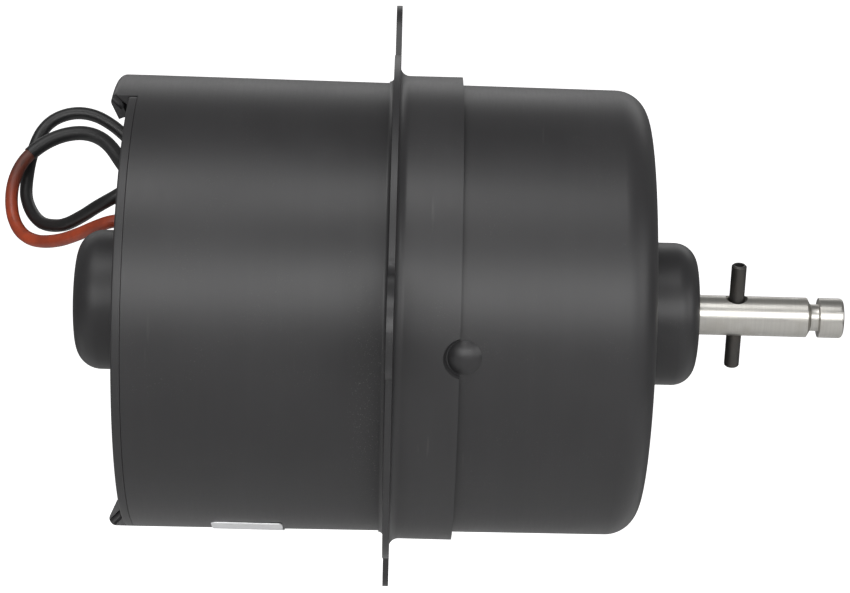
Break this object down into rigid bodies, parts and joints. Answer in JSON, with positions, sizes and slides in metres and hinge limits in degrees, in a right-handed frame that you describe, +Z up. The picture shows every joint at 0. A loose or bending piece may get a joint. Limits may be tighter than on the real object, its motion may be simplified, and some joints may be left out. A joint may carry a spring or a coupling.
{
  "type": "radiator fan motor",
  "caption": "Round brushed fan motor: drawn steel can, staked collar with bolt ears, grooved shaft with a cross pin, and leads to a small plug.",
  "frame": {"origin": "on the shaft's axis, in the plane of the mounting ears' front faces", "axes": "+X along the shaft towards its driving end, +Z up, +Y away from the picture's camera, to the side where the leads hang"},
  "size_m": [0.172, 0.1241, 0.1216],
  "materials": {
    "black_enamel": "satin black enamel with dust and light scuffs",
    "label_film": "blank silver film",
    "shaft_steel": "ground bright",
    "dark_steel": "dark spring steel",
    "lamination_steel": "stacked sheets",
    "zinc_steel": "zinc plated",
    "winding_copper": "varnished wire",
    "commutator_copper": "turned",
    "sintered_bronze": "oiled, porous",
    "brass_sheet": "pressed sheet",
    "ferrite": "ground ferrite",
    "carbon": "pressed carbon",
    "phenolic_board": "pressed board",
    "felt": "oiled felt",
    "nylon": "moulded",
    "grommet_rubber": "moulded",
    "black_insulation": "soft gloss",
    "orange_insulation": "soft gloss",
    "sleeve_plastic": "satin tube"
  },
  "bodies": {
    "housing": {"motor_case": "black_enamel", "rear_end_plate": "black_enamel", "mounting_collar": "black_enamel", "rating_label": "label_film", "front_bearing": "sintered_bronze", "rear_bearing": "sintered_bronze", "front_bearing_retainer": "dark_steel", "rear_bearing_retainer": "dark_steel", "front_oil_wick": "felt", "rear_oil_wick": "felt", "thrust_pad": "nylon", "magnet_near": "ferrite", "magnet_far": "ferrite", "magnet_clip_upper": "dark_steel", "magnet_clip_lower": "dark_steel", "brush_card": "phenolic_board", "card_rivet_1": "zinc_steel", "card_rivet_2": "zinc_steel", "card_rivet_3": "zinc_steel", "brush_box_upper": "brass_sheet", "brush_box_lower": "brass_sheet", "brush_spring_upper": "dark_steel", "brush_spring_lower": "dark_steel", "lead_grommet": "grommet_rubber", "black_lead": "black_insulation", "orange_lead": "orange_insulation", "lead_sleeve": "sleeve_plastic", "plug_housing": "nylon", "black_terminal": "brass_sheet", "orange_terminal": "brass_sheet"},
    "rotor": {"shaft": "shaft_steel", "cross_pin": "dark_steel", "armature_core": "lamination_steel", "front_insulator": "phenolic_board", "rear_insulator": "phenolic_board", "armature_winding": "winding_copper", "commutator": "commutator_copper", "front_spacer": "zinc_steel", "rear_spacer": "zinc_steel", "front_thrust_washer": "nylon", "rear_thrust_washer": "nylon"},
    "upper_brush": {"brush_upper": "carbon"},
    "lower_brush": {"brush_lower": "carbon"}
  },
  "joints": [
    {"name": "rotor_spin", "type": "hinge", "parent": "housing", "child": "rotor", "pos_m": [0, 0, 0], "axis": [1, 0, 0], "continuous": true},
    {"name": "upper_brush_slide", "type": "slide", "parent": "housing", "child": "upper_brush", "axis": [0, 0, 1], "range_m": [0, 0.003], "stiffness_N_per_m": 400, "springref_m": -0.008, "deforming": ["brush_spring_upper"]},
    {"name": "lower_brush_slide", "type": "slide", "parent": "housing", "child": "lower_brush", "axis": [0, 0, -1], "range_m": [0, 0.003], "stiffness_N_per_m": 400, "springref_m": -0.008, "deforming": ["brush_spring_lower"]}
  ]
}
